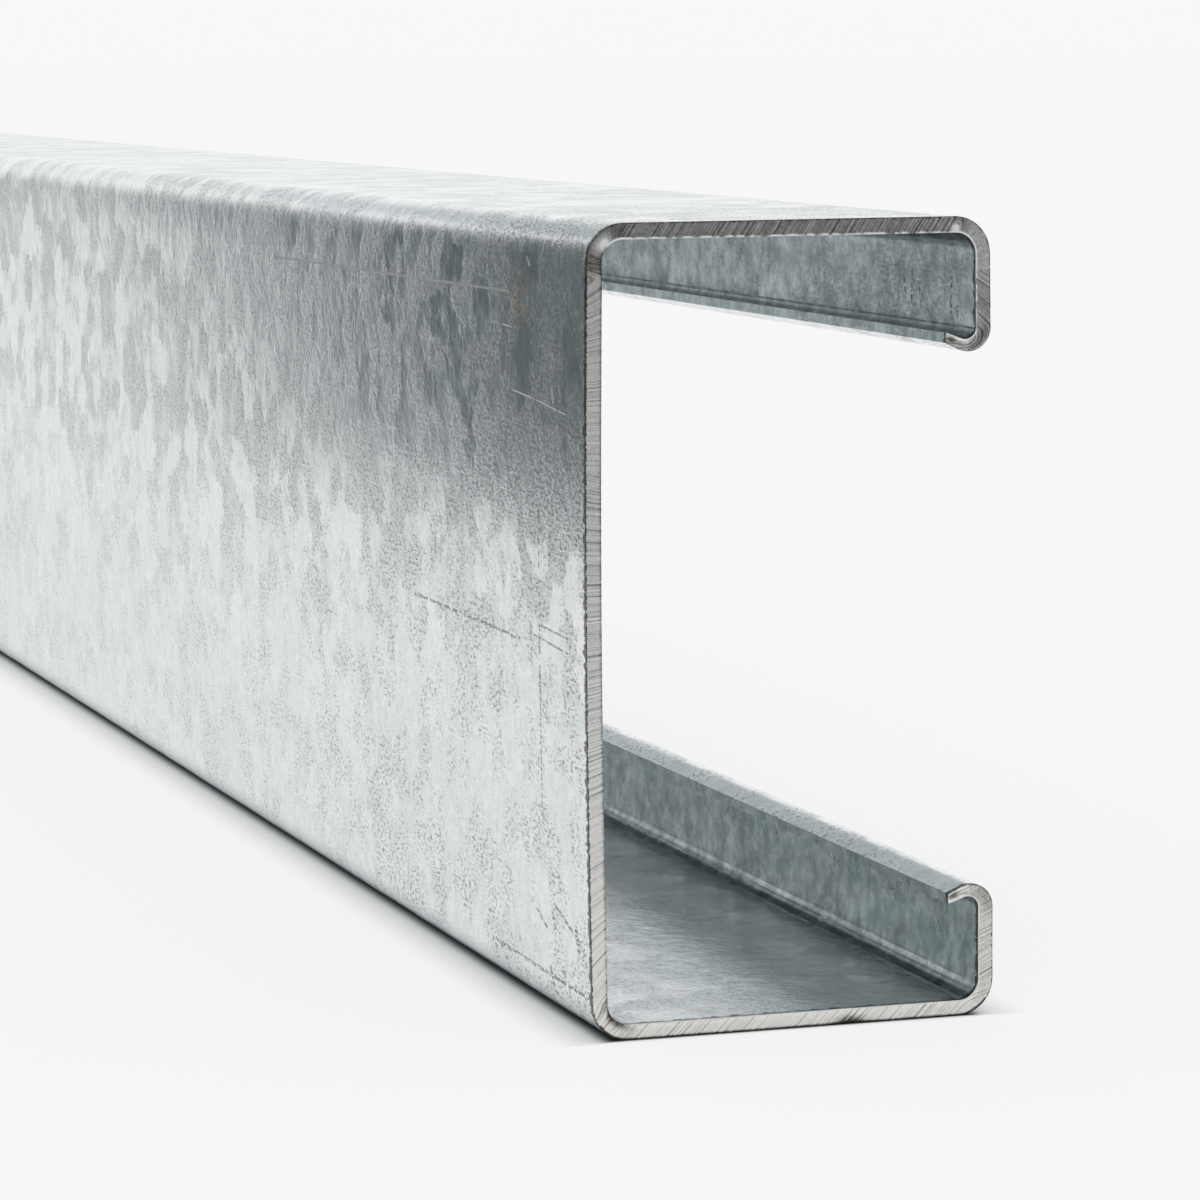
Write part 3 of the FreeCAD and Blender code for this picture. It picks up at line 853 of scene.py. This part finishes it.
def studio():
    """A room with a bright ceiling, a white backdrop behind the stock and to its right, and
    darker walls to its left and in front."""
    world = bpy.data.worlds.new("studio")
    bpy.context.scene.world = world
    world.use_nodes = True
    tree = world.node_tree
    tree.nodes.clear()
    way = add(tree, "TexCoord")
    parts = add(tree, "SeparateXYZ", inputs={0: way.outputs["Generated"]})
    level = add(tree, "CombineXYZ", inputs={"X": parts.outputs["X"], "Y": parts.outputs["Y"]})
    heading = add(tree, "VectorMath", {"operation": "NORMALIZE"}, {0: level.outputs[0]})
    toward = add(tree, "VectorMath", {"operation": "DOT_PRODUCT"}, {
        0: heading.outputs[0], 1: (math.sqrt(0.5), math.sqrt(0.5), 0)})
    backdrop = add(tree, "MapRange", {"interpolation_type": "SMOOTHSTEP"}, {
        "Value": toward.outputs["Value"], "From Min": 0.49, "From Max": 0.58})
    wall = add(tree, "Mix", {"data_type": "RGBA"}, {
        0: backdrop.outputs[0], 6: linear(DARK_ROOM), 7: linear("#fdfefe")})
    height = add(tree, "MapRange", {"interpolation_type": "SMOOTHSTEP"}, {
        "Value": parts.outputs["Z"], "From Min": 0.23, "From Max": 0.3})
    upper = add(tree, "Mix", {"data_type": "RGBA"}, {
        0: height.outputs[0], 6: wall.outputs[2], 7: linear("#b6bdc0")})
    overhead = add(tree, "MapRange", {"interpolation_type": "SMOOTHSTEP"}, {
        "Value": parts.outputs["Z"], "From Min": 0.45, "From Max": 0.75})
    room = add(tree, "Mix", {"data_type": "RGBA"}, {
        0: overhead.outputs[0], 6: upper.outputs[2], 7: linear("#ffffff")})
    path = add(tree, "LightPath")
    seen = add(tree, "Mix", {"data_type": "RGBA"}, {
        0: path.outputs["Is Camera Ray"], 6: room.outputs[2], 7: linear("#f8f8f8")})
    light = add(tree, "Background", inputs={"Color": seen.outputs[2], "Strength": 1.0})
    add(tree, "OutputWorld", inputs={"Surface": light.outputs[0]})


def camera():
    """A long lens in front of the near end and to its left, a little above the upper flange."""
    data = bpy.data.cameras.new("camera")
    data.sensor_width = 36.0
    data.lens = 142.3
    data.clip_end = 100.0
    eye = bpy.data.objects.new("camera", data)
    bpy.context.scene.collection.objects.link(eye)
    yaw, pitch, roll = (math.radians(angle) for angle in (17.87, 6.743, -0.4305))
    forward = math.cos(pitch)
    ahead = Vector((math.sin(yaw) * forward, math.cos(yaw) * forward, -math.sin(pitch)))
    level = Vector((math.cos(yaw), -math.sin(yaw), 0))
    upright = level.cross(ahead)
    right = math.cos(roll) * level + math.sin(roll) * upright
    turn = Matrix((right, right.cross(ahead), -ahead)).transposed()
    place = low + Vector((-0.25953, -0.81373, 0.18289))
    eye.matrix_world = Matrix.Translation(place) @ turn.to_4x4()
    bpy.context.scene.camera = eye


def stock():
    """The purlin itself, as one piece with its two finishes."""
    mesh = purlin_stock()
    mesh.materials.append(hot_dip_zinc(Section()))
    mesh.materials.append(bare_sawn_steel())
    piece = bpy.data.objects.new("purlin_stock", mesh)
    bpy.context.scene.collection.objects.link(piece)
    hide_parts("purlin")
    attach(piece, "root")


bpy.context.scene.view_settings.view_transform = "Standard"
camera()
studio()
pale_sheet()
stock()
